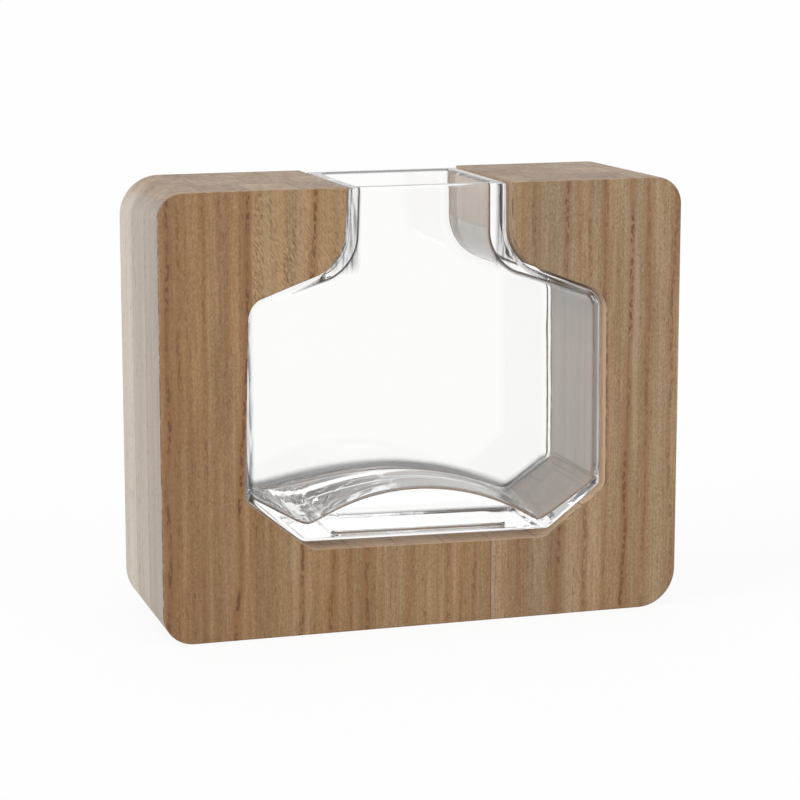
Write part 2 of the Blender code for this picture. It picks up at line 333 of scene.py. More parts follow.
@dataclass(frozen=True)
class BottleShape:
    """A bottle's outline seen from the front, drawn out from front to back.

    It has a neck, sloping shoulders, sides and slanted corners at the bottom. The rim is level.

    Attributes:
        right: The corners on the right.
        left: The corners on the left.
        front: The place of the front along Y.
        back: The place of the back along Y.
    """

    right: Half
    left: Half
    front: float
    back: float

    @property
    def top(self) -> float:
        """The height of the rim."""
        return self.right[Level.RIM].z

    def outline(self) -> list[Corner]:
        """The corners, clockwise from the right end of the rim."""
        return [*self.right.values(), *reversed(self.left.values())]

    def on_line(self, x: float, a: Corner, b: Corner) -> float:
        """The height at which a straight line through two corners passes a place along X."""
        return a.z + (b.z - a.z) * (x - a.x) / (b.x - a.x)

    def floor_height(self, x: float) -> float:
        """The floor's height at a place along X."""
        return self.on_line(x, self.left[Level.FLOOR], self.right[Level.FLOOR])

    def on_floor(self, vertex: BMVert, above: float = 0.0) -> bool:
        """Whether a vertex lies at a height above the floor."""
        return near(vertex.co.z, self.floor_height(vertex.co.x) + above, 0.002 * MM)

    def set_in(self, inset: Inset, top: float) -> "BottleShape":
        """The outline with each of its sides moved inwards.

        Args:
            inset: How far each side is moved, apart from the rim.
            top: How far the rim is moved.

        Returns:
            The smaller shape. Its front and its back are those of this one.
        """
        corners = self.outline()
        half = (inset.neck, inset.shoulder, inset.side, inset.chamfer)
        distances = [distance * MM for distance in (*half, inset.floor, *reversed(half))] + [top]
        sides = []
        for i, distance in enumerate(distances):
            start, end = corners[i].place, corners[(i + 1) % len(corners)].place
            along = (end - start).normalized()
            inwards = Vector((along.z, 0.0, -along.x)) * distance
            sides.append((start + inwards, end + inwards))
        moved = []
        for i, (level, corner) in enumerate(zip((*Level, *reversed(Level)), corners)):
            meeting, _ = intersect_line_line(*sides[i - 1], *sides[i])
            radius = inset.radius(level, corner.radius)
            moved.append(replace(corner, x=meeting.x, z=meeting.z, radius=radius))
        right = dict(zip(Level, moved))
        left = dict(zip(Level, reversed(moved)))
        return replace(self, right=right, left=left)

    def rough_out(self, name: str) -> Bench:
        """Model the shape with sharp corners, from a cube that is grown upwards and downwards.

        Args:
            name: The piece's name.

        Returns:
            The bench with the closed solid.
        """
        half = 200.0 * MM
        step = 100.0 * MM
        heights = dict(zip(Level, (4 * step, 3 * step, 2 * step, step, 0.0)))
        bench = Bench.cube(
            name,
            Vector((-half, self.front, heights[Level.SIDE])),
            Vector((half, self.back, heights[Level.SHOULDER])),
        )
        with bench.editing():
            bench.pick("FACE", lambda face: face.normal.z > 0.9)
            bench.extrude(Vector((0.0, 0.0, step)))
            bench.extrude(Vector((0.0, 0.0, step)))
            bench.pick("FACE", lambda face: face.normal.z < -0.9)
            bench.extrude(Vector((0.0, 0.0, -step)))
            for level, height in heights.items():
                for x, corner in ((half, self.right[level]), (-half, self.left[level])):
                    bench.pick("VERT", lambda v: near(v.co.x, x) and near(v.co.z, height))
                    bpy.ops.transform.translate(value=corner.place - Vector((x, 0.0, height)))
            bench.pick("EDGE", lambda edge: edge.calc_face_angle(1.0) < math.radians(0.1))
            bpy.ops.mesh.dissolve_edges(use_verts=False)
            bpy.ops.mesh.select_all(action="SELECT")
            bpy.ops.mesh.normals_make_consistent(inside=False)
        return bench

    def round_corners(self, bench: Bench, *levels: Level) -> None:
        """Round the outline's corners at some levels, on the left and on the right.

        Args:
            bench: The solid, in edit mode.
            levels: The levels.
        """
        corners = self.outline()
        chosen = [side[level] for level in levels for side in (self.right, self.left)]
        for i, corner in enumerate(corners):
            if corner not in chosen:
                continue
            before = corner.place - corners[i - 1].place
            after = corners[(i + 1) % len(corners)].place - corner.place
            bench.pick(
                "EDGE",
                lambda edge: runs_along_y(edge)
                and near(edge.verts[0].co.x, corner.x)
                and near(edge.verts[0].co.z, corner.z),
            )
            bench.round_off(corner.radius * math.tan(before.angle(after) / 2), corner.segments)

    def round_face(self, bench: Bench, y: float, radius: float, segments: int) -> None:
        """Round the edge all round the front or the back, except along its top.

        Args:
            bench: The solid, in edit mode.
            y: The place of the front or the back.
            radius: The round's radius.
            segments: How many faces make the round.
        """
        bench.pick(
            "EDGE",
            lambda edge: all(near(v.co.y, y) for v in edge.verts)
            and not is_level(edge, self.top)
            and turns(edge, 45.0),
        )
        bench.round_off(radius, segments)


# Node graphs


class Value:
    """What one output of a node gives. It takes part in sums as a plain number does.

    Attributes:
        graph: The graph that holds the node.
        socket: The output.
    """

    def __init__(self, graph: "Graph", socket: NodeSocket) -> None:
        """Take up an output of a node in a graph."""
        self.graph = graph
        self.socket = socket

    @property
    def has_parts(self) -> bool:
        """Whether it is a vector or a colour and not a single number."""
        return self.socket.type in ("VECTOR", "RGBA")

    def __add__(self, other: Any) -> "Value":
        """This and another value together."""
        return self.graph.work("ADD", self, other)

    def __sub__(self, other: Any) -> "Value":
        """This value less another one."""
        return self.graph.work("SUBTRACT", self, other)

    def __rsub__(self, other: Any) -> "Value":
        """Another value less this one."""
        return self.graph.work("SUBTRACT", other, self)

    def __mul__(self, other: Any) -> "Value":
        """This value times another one."""
        return self.graph.work("MULTIPLY", self, other)

    def __abs__(self) -> "Value":
        """This value without its sign."""
        return self.graph.work("ABSOLUTE", self)


class Graph:
    """A node tree that is wired from code.

    Attributes:
        tree: The tree of a material, a world or a group.
    """

    def __init__(self, tree: NodeTree) -> None:
        """Take up a tree."""
        self.tree = tree

    @classmethod
    def group(cls, name: str, **inputs: Any) -> tuple["Graph", list[Value]]:
        """Start a node group.

        Args:
            name: The group's name.
            inputs: The usual value of each input, with _ for each space in its name.

        Returns:
            The group's graph, and what comes in through each input.
        """
        graph = cls(bpy.data.node_groups.new(name, "ShaderNodeTree"))
        for key, value in inputs.items():
            kind = "NodeSocketVector" if isinstance(value, tuple) else "NodeSocketFloat"
            sockets = graph.tree.interface
            made = sockets.new_socket(name=key.replace("_", " "), in_out="INPUT", socket_type=kind)
            made.default_value = value
        source = graph.add("NodeGroupInput")
        return graph, [Value(graph, socket) for _, socket in zip(inputs, source.outputs)]

    def give(self, **values: Value) -> NodeTree:
        """Put numbers out of a node group.

        Args:
            values: The number for each output.

        Returns:
            The group's tree.
        """
        sockets = self.tree.interface
        for name in values:
            sockets.new_socket(name=name, in_out="OUTPUT", socket_type="NodeSocketFloat")
        sink = self.add("NodeGroupOutput")
        for name, value in values.items():
            self.feed(sink.inputs[name], value)
        return self.tree

    def add(self, kind: str, **settings: Any) -> Node:
        """Add a node.

        Args:
            kind: The node's type.
            settings: Properties to set on it.

        Returns:
            The node.
        """
        node = self.tree.nodes.new(kind)
        for name, value in settings.items():
            setattr(node, name, value)
        return node

    def feed(self, socket: NodeSocket, value: Any) -> None:
        """Give an input a link or a plain value. A colour of three numbers is made opaque.

        Args:
            socket: The input.
            value: What a node gives, or the value to set.
        """
        if isinstance(value, Value):
            self.tree.links.new(value.socket, socket)
        else:
            is_open = socket.type == "RGBA" and len(value) == 3
            socket.default_value = (*value, 1.0) if is_open else value

    def read(self, kind: str, output: str, **settings: Any) -> Value:
        """What the named output of a new node without inputs gives."""
        return Value(self, self.add(kind, **settings).outputs[output])

    def use(self, group: NodeTree, **values: Any) -> dict[str, Value]:
        """Place a node group.

        Args:
            group: The group's tree.
            values: What goes into each input, with _ for each space in its name.

        Returns:
            What each output gives, by its name.
        """
        node = self.add("ShaderNodeGroup", node_tree=group)
        for name, value in values.items():
            self.feed(node.inputs[name.replace("_", " ")], value)
        return {socket.name: Value(self, socket) for socket in node.outputs}

    def work(self, operation: str, *values: Any) -> Value:
        """Work out a number, or a vector where one of the values has three parts.

        Args:
            operation: The operation of the Math or Vector Math node.
            values: Its inputs in order.

        Returns:
            The result.
        """
        parts = [isinstance(value, tuple) or getattr(value, "has_parts", False) for value in values]
        kind = "ShaderNodeVectorMath" if any(parts) else "ShaderNodeMath"
        node = self.add(kind, operation=operation)
        for socket, value in zip(node.inputs, values):
            self.feed(socket, value)
        return Value(self, node.outputs[0])

    def place(self) -> Value:
        """The place on the object, in millimetres."""
        return self.read("ShaderNodeTexCoord", "Object") * ((1.0 / MM,) * 3)

    def stored(self, name: str) -> Value:
        """What a stave's mesh says about itself under a name."""
        return self.read("ShaderNodeAttribute", "Vector", attribute_name=name)

    def split(self, vector: Value) -> tuple[Value, ...]:
        """Take a vector apart.

        Args:
            vector: The vector.

        Returns:
            Its X, Y and Z.
        """
        node = self.add("ShaderNodeSeparateXYZ")
        self.feed(node.inputs[0], vector)
        return tuple(Value(self, socket) for socket in node.outputs)

    def noise(self, place: Value, stretch: Triple, detail: float = 2.0, rough: float = 0.5,
              twist: float = 0.0) -> Value:
        """Noise that is finer along some axes than along others.

        Args:
            place: The coordinates.
            stretch: How many waves there are per unit along each axis.
            detail: How many finer octaves are added.
            rough: How strong the finer octaves are.
            twist: How much the pattern is warped by itself.

        Returns:
            A value from 0 to 1, mostly near 0.5.
        """
        node = self.add("ShaderNodeTexNoise")
        inputs = ("Vector", "Scale", "Detail", "Roughness", "Distortion")
        for name, value in zip(inputs, (place * stretch, 1.0, detail, rough, twist)):
            self.feed(node.inputs[name], value)
        return Value(self, node.outputs[0])

    def ease(self, value: Value, start: Any, end: Any) -> Value:
        """A soft step.

        Args:
            value: The value that is tested.
            start: Where the step is still 0.
            end: Where the step is 1.

        Returns:
            The step.
        """
        node = self.add("ShaderNodeMapRange", interpolation_type="SMOOTHSTEP")
        for socket, item in zip(node.inputs, (value, start, end, 0.0, 1.0)):
            self.feed(socket, item)
        return Value(self, node.outputs[0])

    def blend(self, amount: Any, first: Any, second: Any) -> Value:
        """Mix two colours.

        Args:
            amount: The share of the second colour.
            first: The first colour.
            second: The second colour.

        Returns:
            The colour.
        """
        node = self.add("ShaderNodeMix", data_type="RGBA")
        colours = [socket for socket in node.inputs if socket.type == "RGBA"]
        for socket, value in zip((node.inputs[0], *colours), (amount, first, second)):
            self.feed(socket, value)
        return Value(self, next(socket for socket in node.outputs if socket.type == "RGBA"))

    def ramp(self, value: Value, stops: tuple[tuple[float, Triple], ...]) -> Value:
        """A colour from a scale of colours.

        Args:
            value: The place on the scale.
            stops: The scale's places and colours in order.

        Returns:
            The colour.
        """
        node = self.add("ShaderNodeValToRGB")
        elements = node.color_ramp.elements
        for i, (place, colour) in enumerate(stops):
            element = elements[i] if i < 2 else elements.new(place)
            element.position = place
            element.color = (*colour, 1.0)
        self.feed(node.inputs[0], value)
        return Value(self, node.outputs[0])

    def bump(self, height: Value, strength: float, distance: float) -> Value:
        """The normal of a surface with a fine relief.

        Args:
            height: The relief, from 0 to about 1.
            strength: How much of it is used.
            distance: How high 1 stands out.

        Returns:
            The normal.
        """
        node = self.add("ShaderNodeBump")
        for name, value in (("Strength", strength), ("Distance", distance), ("Height", height)):
            self.feed(node.inputs[name], value)
        return Value(self, node.outputs[0])

    def mix_shaders(self, amount: Value, first: Node, second: Node, output: str) -> None:
        """Mix two shaders and show the result.

        Args:
            amount: The share of the second shader.
            first: The first shader's node.
            second: The second shader's node.
            output: The name of the tree's output node.
        """
        mix = self.add("ShaderNodeMixShader")
        self.feed(mix.inputs[0], amount)
        for socket, shader in zip(mix.inputs[1:], (first, second)):
            self.feed(socket, Value(self, shader.outputs[0]))
        self.feed(self.tree.nodes[output].inputs[0], Value(self, mix.outputs[0]))


def start_material(name: str) -> tuple[Material, Graph, Node]:
    """Make a material.

    Args:
        name: Its name.

    Returns:
        The material, its graph and its shader.
    """
    material = bpy.data.materials.new(name)
    material.use_nodes = True
    return material, Graph(material.node_tree), material.node_tree.nodes["Principled BSDF"]


class WoodEffects:
    """The node groups that the wooden finishes share. Their places and sizes are in millimetres.

    Attributes:
        grain: Fibres, pores and slow changes of tone, all running upright.
        growth_line: One dark line of open pores between two years' wood.
        joint: The thin line where two staves are glued.
        arris: A patchy band along the front and back edges, for a painted highlight and a dark
            line.
    """

    def __init__(self) -> None:
        """Build the groups."""
        self.grain = self.make_grain()
        self.growth_line = self.make_growth_line()
        self.joint = self.make_joint()
        self.arris = self.make_arris_light()

    def make_grain(self) -> NodeTree:
        """Build the group for the grain, which runs along Z.

        Returns:
            The group, which puts out a tone, a warmth, a mask for the pores and a height.
        """
        graph, (place, fibre, bands, flecks, curl) = Graph.group(
            "upright grain", Place=NOWHERE, Fibre=0.5, Bands=0.5, Flecks=0.3, Curl=0.0
        )
        broad = graph.noise(place, (0.13, 0.13, 0.005))
        medium = graph.noise(place, (0.42, 0.42, 0.011), rough=0.55)
        fine = graph.noise(place, (1.3, 1.3, 0.04), rough=0.6)
        specks = graph.noise(place, (1.7, 1.7, 1.15), detail=1.0, rough=0.6)
        tone = (fine - 0.5) * fibre + (medium - 0.5) * bands
        tone = tone + (broad - 0.5) * bands * 1.5 + (specks - 0.5) * flecks
        slanted = place + graph.split(place)[2] * (0.55, 0.0, 0.0)
        strokes = graph.noise(slanted, (1.9, 0.5, 0.6), detail=1.0, twist=0.3)
        patch = graph.ease(graph.noise(place, (0.06, 0.05, 0.035), detail=1.0), 0.32, 0.55)
        ripple = patch * curl * graph.work("MAXIMUM", strokes - 0.47, -0.03)
        dashes = graph.ease(graph.noise(place, (1.7, 1.7, 0.3), detail=1.0), 0.62, 0.72)
        pores = dashes * (graph.ease(medium, 0.58, 0.4) * 0.8 + 0.2)
        return graph.give(
            Tone=tone + ripple + 0.5,
            Warmth=graph.ease(graph.noise(place, (0.24, 0.24, 0.006)), 0.3, 0.7),
            Pores=pores,
            Height=fine * 0.5 - pores * 0.8 + ripple * 0.6,
        )

    def make_growth_line(self) -> NodeTree:
        """Build the group for a growth line, whose foot, lean and strength come as one vector.

        Returns:
            The group, which puts out masks for the open pores and the darker wood beside them.
        """
        graph, (place, line) = Graph.group("growth line", Place=NOWHERE, Line=NOWHERE)
        x, _, z = graph.split(place)
        foot, lean, strength = graph.split(line)
        seed = foot * (7.1, 0.0, 3.3)
        drift = graph.noise(place * (0.0, 1.0, 1.0) + seed, (0.1, 0.03, 0.03), rough=0.55)
        away = abs(x - (z * lean + foot + (drift - 0.5) * 4.5))
        place = place + seed
        specks = graph.ease(graph.noise(place, (1.3, 1.3, 0.5), detail=1.0, rough=0.6), 0.44, 0.54)
        breaks = graph.ease(graph.noise(place, (0.05, 0.05, 0.05), rough=0.6), 0.38, 0.56)
        return graph.give(
            Pores=graph.ease(away, 0.85, 0.3) * specks * (breaks * 0.8 + 0.2) * strength,
            Halo=graph.ease(away, 2.4, 0.2) * strength,
        )

    def make_joint(self) -> NodeTree:
        """Build the group for glue lines. The stave's ends along X and Y come as two vectors.

        The third number of each vector says how much the line on the left or on the right shows.

        Returns:
            The group, which puts out a mask.
        """
        graph, (place, sides, faces, end_grain, width) = Graph.group(
            "glue line", Place=NOWHERE, Sides=NOWHERE, Faces=NOWHERE, End_Grain=0.0, Width=0.32
        )
        x, y, _ = graph.split(place)
        left, right, left_shows = graph.split(sides)
        front, back, right_shows = graph.split(faces)
        reach = width * (graph.noise(place, (0.4, 0.4, 0.12)) + 0.5)
        mask: Any = 0.0
        for away, shows in (
            (x - left, left_shows),
            (x - right, right_shows),
            (y - front, 0.6),
            (y - back, 0.6),
        ):
            line = graph.ease(abs(away), reach, 0.0) * graph.work("MAXIMUM", shows, end_grain)
            mask = graph.work("MAXIMUM", mask, line)
        return graph.give(Mask=mask)

    def make_arris_light(self) -> NodeTree:
        """Build the group for a patchy band along the block's front and back edges, for painted
        light.

        Returns:
            The group, which puts out a mask.
        """
        graph, (place, half_depth, reach) = Graph.group(
            "arris light band", Place=NOWHERE, Half_Depth=27.5, Reach=0.65
        )
        inside = half_depth - abs(graph.split(place)[1])
        patchy = graph.ease(graph.noise(place, (0.3, 0.3, 0.3)), 0.3, 0.6)
        on_edge = graph.ease(inside, reach, 0.25) * graph.ease(inside, 0.01, 0.06)
        return graph.give(Mask=on_edge * patchy)


@dataclass(frozen=True)
class WoodFinish:
    """Fine sanded wood with upright grain.

    Attributes:
        name: The material's name.
        deep: The darkest of the fibres.
        middle: The usual colour.
        pale: The palest of the fibres.
        straw: What the paler boards' colour is multiplied by.
        warm: What the redder bands' colour is multiplied by.
        cool: What the greyer bands' colour is multiplied by.
        pore: The colour inside the open pores.
        rust: The redder wood beside a growth line.
        glue_and_dark_edge: The colour of a glue line, also painted as a dark line on the
            left-facing edges.
        side: The paler, greyer colour of the sides, cut along the growth rings, with a painted
            sheen in it.
        inside: The colour of the cut's walls and floor, painted paler for the light the glass keeps
            off.
        end: The greyer colour of the end grain.
        arris_highlight: The paler colour painted as a highlight on the edge along the front of the
            top.
        curl: How strong the rippled figure is.
        fibre: How strong the fibres are.
        bands: How strong the slow changes of tone are.
        flecks: How strong the fine flecks are.
        roughness: How dull the surface is.
        top_from: Between which heights the end grain of the top begins, in millimetres.
        cut_sides: How far from the middle the wood inside the cut ends.
        cut_floor: Between which heights it begins.
        neck_shade: Between which heights it gets darker, as painted shade in the neck.
        mouth_light: How far in front of the middle its right wall gets paler, as painted light.
    """

    name: str
    deep: Triple = (0.18, 0.088, 0.034)
    middle: Triple = (0.27, 0.159, 0.0755)
    pale: Triple = (0.4, 0.262, 0.144)
    straw: Triple = (1.06, 1.17, 1.38)
    warm: Triple = (1.05, 0.98, 0.86)
    cool: Triple = (0.96, 1.015, 1.04)
    pore: Triple = (0.12, 0.048, 0.018)
    rust: Triple = (0.235, 0.106, 0.038)
    glue_and_dark_edge: Triple = (0.1, 0.06, 0.035)
    side: Triple = (0.345, 0.303, 0.26)
    inside: Triple = (0.42, 0.283, 0.182)
    end: Triple = (0.275, 0.2, 0.137)
    arris_highlight: Triple = (0.42, 0.325, 0.225)
    curl: float = 0.0
    fibre: float = 0.5
    bands: float = 0.5
    flecks: float = 0.6
    roughness: float = 0.55
    top_from: Pair = (121.0, 134.0)
    cut_sides: Pair = (70.0, 62.0)
    cut_floor: Pair = (10.0, 20.0)
    neck_shade: Pair = (104.0, 112.0)
    mouth_light: Pair = (-20.0, -24.0)

    def build(self, effects: WoodEffects) -> Material:
        """Make the material.

        Args:
            effects: The node groups of the wooden finishes.

        Returns:
            The material.
        """
        material, graph, shader = start_material(self.name)
        place = graph.place()
        normal = graph.split(graph.read("ShaderNodeNewGeometry", "Normal"))
        end_grain = graph.ease(abs(normal[2]), 0.45, 0.85)
        own_place = place + graph.stored("seed")
        grain = graph.use(
            effects.grain,
            Place=own_place,
            Fibre=self.fibre,
            Bands=self.bands,
            Flecks=self.flecks,
            Curl=self.curl,
        )
        rings = graph.noise(own_place, (0.9, 0.14, 0.05), rough=0.55)
        colour = self.colour_faces(graph, grain, rings, place, normal, end_grain)
        colour = graph.blend(grain["Pores"] * 0.45, colour, self.pore)
        height = grain["Height"]
        on_front = graph.ease(abs(normal[1]), 0.3, 0.7)
        for number in range(LINES_PER_STAVE):
            line = graph.use(effects.growth_line, Place=place, Line=graph.stored(f"line_{number}"))
            pores = line["Pores"] * on_front
            colour = graph.blend(line["Halo"] * 0.75 * on_front, colour, self.rust)
            colour = graph.blend(pores, colour, self.pore)
            height = height - pores
        joint = graph.use(
            effects.joint,
            Place=place,
            Sides=graph.stored("sides"),
            Faces=graph.stored("faces"),
            End_Grain=end_grain * 0.8,
        )["Mask"]
        colour = graph.blend(joint, colour, self.glue_and_dark_edge)
        arris = graph.use(effects.arris, Place=place)["Mask"]
        # Painted highlight on the upward-facing front and back edges.
        colour = graph.blend(arris * graph.ease(normal[2], 0.15, 0.5) * 0.7, colour, self.arris_highlight)
        # A dark line in the glue colour on the left-facing front and back edges.
        colour = graph.blend(arris * graph.ease(normal[0], -0.15, -0.5) * 0.9, colour, self.glue_and_dark_edge)
        dull = self.roughness + 0.06 - grain["Tone"] * 0.12 + grain["Pores"] * 0.2
        relief = graph.bump(height - joint * 0.25, 0.35, 0.06 * MM)
        for name, value in (
            ("Base Color", colour),
            ("Roughness", dull),
            ("Normal", relief),
            ("IOR", 1.45),
        ):
            graph.feed(shader.inputs[name], value)
        material.diffuse_color = (*self.middle, 1.0)
        return material

    def colour_faces(self, graph: Graph, grain: dict[str, Value], rings: Value, place: Value,
                     normal: tuple[Value, ...], end_grain: Value) -> Value:
        """The wood's colour face by face, with painted sheen on the sides and painted shading in
        the cut.

        Args:
            graph: The material's graph.
            grain: What the grain group gives.
            rings: The growth rings on the end grain.
            place: The place in millimetres.
            normal: The three parts of the face's normal.
            end_grain: 1 on end grain.

        Returns:
            The colour.
        """
        tint, side_lift_by_layer, straw = graph.split(graph.stored("tint"))
        tone = grain["Tone"]
        x, y, z = graph.split(place)
        colour = graph.ramp(tone, ((0.15, self.deep), (0.5, self.middle), (0.85, self.pale)))
        colour = colour * graph.blend(grain["Warmth"], self.cool, self.warm)
        colour = graph.blend(straw, colour, colour * self.straw)
        # Partly painted sheen: the sides get a paler, greyer colour, paler for the layers towards
        # the back and darker where they turn upwards.
        streaks = tone * 0.55 + 0.725 + side_lift_by_layer - graph.ease(normal[2], 0.1, 0.6) * 0.16
        across = graph.ease(abs(normal[0]), 0.3, 0.8)
        colour = graph.blend(across * 0.9, colour, streaks * self.side)
        on_top = end_grain * graph.ease(z, *self.top_from)
        colour = graph.blend(on_top * 0.85, colour, (rings + tone * 0.7 + 0.16 + tint) * self.end)
        # Painted light and shade in the cut: paler all over, paler still at the right wall's open
        # front, and darker in the neck.
        in_cut = graph.ease(abs(x), *self.cut_sides) * graph.ease(z, *self.cut_floor)
        in_cut = in_cut * (1.0 - on_top) * graph.ease(abs(normal[1]), 0.9, 0.5)
        mouth = graph.ease(y, *self.mouth_light) * graph.ease(x, 50.0, 56.0)
        shade = tone * 0.6 + 0.7 + mouth * 0.15 - graph.ease(z, *self.neck_shade) * 0.14
        return graph.blend(in_cut, colour, shade * self.inside)


@dataclass(frozen=True)
class GlassFinish:
    """Clear pressed glass.

    Attributes:
        name: The material's name.
        clear: The colour where the glass is cleanest.
        thick: The colour where the melt is a little less clean.
        ior: How strongly it bends light.
        edge: The grey painted into its thick edges as streaky reflections.
        rear_shade: The grey painted as shade on the curve between its back wall and its floor.
        lets_through: The share of the lamps' light that passes straight through it.
        waviness: How uneven its surfaces are everywhere.
        flow: How strong the flow marks at the slanted corners are.
        middle: Where the neck's middle is along X, in millimetres.
        neck_edges: How far from there the painted reflection streaks in the neck's edges begin.
        neck_from: Between which heights they begin.
        left_edge: Where the painted reflection streaks in the body's left edge begin along X.
        left_from: Between which heights they begin.
        edge_depth: How far in front of the middle all painted streaks begin.
        rear_depth: How far behind the middle that painted shade begins.
        low: Between which heights the flow marks fade out upwards.
        aside: How far from the middle they begin.
    """

    name: str = "clear_glass"
    clear: Triple = (0.998, 0.997, 0.993)
    thick: Triple = (0.99, 0.989, 0.982)
    ior: float = 1.5
    edge: Triple = (0.1, 0.1, 0.108)
    rear_shade: Triple = (0.05, 0.05, 0.052)
    lets_through: float = 0.85
    waviness: float = 0.12
    flow: float = 0.8
    middle: float = 1.0
    neck_edges: Pair = (21.5, 23.5)
    neck_from: Pair = (112.0, 117.0)
    left_edge: Pair = (-54.8, -56.2)
    left_from: Pair = (38.0, 46.0)
    edge_depth: Pair = (-17.0, -19.0)
    rear_depth: Pair = (12.0, 15.0)
    low: Pair = (48.0, 36.0)
    aside: Pair = (22.0, 34.0)

    def build(self) -> Material:
        """Make the material.

        Returns:
            The material.
        """
        material, graph, shader = start_material(self.name)
        place = graph.place()
        shadow = graph.read("ShaderNodeLightPath", "Is Shadow Ray")
        film = graph.ease(graph.noise(place, (0.08, 0.08, 0.03), detail=3.0, rough=0.6), 0.55, 0.8)
        for name, value in (
            ("Base Color", self.colour(graph, place)),
            ("Alpha", 1.0 - shadow * self.lets_through),
            ("Roughness", film * 0.015),
            ("Normal", graph.bump(self.relief(graph, place), 1.0, 0.2 * MM)),
            ("IOR", self.ior),
            ("Transmission Weight", 1.0),
        ):
            graph.feed(shader.inputs[name], value)
        material.diffuse_color = (*self.clear, 0.3)
        return material

    def relief(self, graph: Graph, place: Value) -> Value:
        """How uneven the glass is, with slanted flow marks in the low corners.

        Args:
            graph: The material's graph.
            place: The place in millimetres.

        Returns:
            The height of its surface.
        """
        x, _, z = graph.split(place)
        corners = graph.ease(z, *self.low) * graph.ease(abs(x), *self.aside)
        marks = graph.noise(place + z * (0.7, 0.0, 0.0), (0.34, 0.1, 0.1), detail=1.0, twist=0.5)
        return graph.noise(place, (0.16, 0.1, 0.07)) * self.waviness + marks * corners * self.flow

    def colour(self, graph: Graph, place: Value) -> Value:
        """The glass's colour: nearly clear, with painted reflections in the edges and painted shade
        behind.

        Args:
            graph: The material's graph.
            place: The place in millimetres.

        Returns:
            The colour.
        """
        x, y, z = graph.split(place)
        colour = graph.blend(graph.noise(place, (0.05, 0.05, 0.05)), self.clear, self.thick)
        # Painted reflections: grey streaks in the thick edges of the neck and of the body's left
        # side.
        neck = graph.ease(abs(x - self.middle), *self.neck_edges) * graph.ease(z, *self.neck_from)
        body = graph.ease(x, *self.left_edge) * graph.ease(z, *self.left_from)
        streaks = graph.ease(graph.noise(place, (0.9, 0.9, 0.05), rough=0.6, twist=0.5), 0.62, 0.4)
        edges = graph.work("MAXIMUM", neck, body) * (streaks * 0.7 + 0.3)
        colour = graph.blend(edges * graph.ease(y, *self.edge_depth), colour, self.edge)
        # Painted shade: grey on the curve between the back wall and the floor.
        _, across, up = graph.split(graph.read("ShaderNodeNewGeometry", "Normal"))
        bend = graph.ease(up, 0.05, 0.8) * graph.ease(across, -0.08, -0.3)
        return graph.blend(bend * graph.ease(y, *self.rear_depth), colour, self.rear_shade)


# Sub-assemblies


@dataclass(frozen=True)
class GrowthLine:
    """A growth line in the front of the block.

    Attributes:
        foot: Where it would meet the block's underside, along X.
        lean: How far it goes to the right per length upwards.
        strength: How dark it is.
        missing: The pieces on which it doesn't show.
    """

    foot: float
    lean: float
    strength: float
    missing: Span | None = None


FRONT_LINES = tuple(
    GrowthLine(foot * MM, *rest)
    for foot, *rest in (
        (-83.3, 0.006, 0.85), (-80.2, 0.012, 0.5), (-71.6, 0.006, 0.45), (-67.0, 0.004, 0.2),
        (-61.6, 0.037, 1.0), (-41.3, 0.036, 0.85), (-31.3, 0.03, 0.75, Span.UPPER),
        (-24.7, 0.0, 0.3), (-19.6, 0.0, 0.75), (-5.4, 0.03, 0.25), (7.2, 0.02, 0.5),
        (11.1, 0.03, 0.4), (16.0, 0.03, 0.55), (30.0, 0.02, 0.25), (34.6, 0.01, 0.35, Span.LOWER),
        (44.4, 0.017, 0.75), (53.3, 0.004, 0.5), (60.7, -0.01, 0.5), (66.5, 0.015, 0.85),
        (73.6, 0.007, 0.5), (82.6, 0.002, 0.5),
    )
)


@dataclass(frozen=True)
class OuterRound:
    """The round at one of the block's four long outer corners. It is wider or narrower at the back.

    Attributes:
        side: 1 on the right and -1 on the left.
        upper: Whether it is at the block's top.
        front: Its radius at the front.
        back: Its radius at the back.
    """

    side: float
    upper: bool
    front: float
    back: float

    def shape(self, block: Bench, low: Vector, high: Vector, radius: float) -> None:
        """Give the round its own radius at each end.

        Args:
            block: The block, in edit mode, all of whose rounds have one radius.
            low: The block's lowest corner.
            high: The block's highest corner.
            radius: That radius.
        """
        x, z = high.x if self.side > 0.0 else low.x, high.z if self.upper else low.z
        reach = radius + 0.01 * MM
        for y, wanted in ((low.y, self.front), (high.y, self.back)):
            block.pick(
                "VERT",
                lambda v: near(v.co.y, y) and near(v.co.x, x, reach) and near(v.co.z, z, reach),
            )
            scale = wanted / radius
            bpy.ops.transform.resize(value=(scale, 1.0, scale), center_override=(x, 0.0, z))


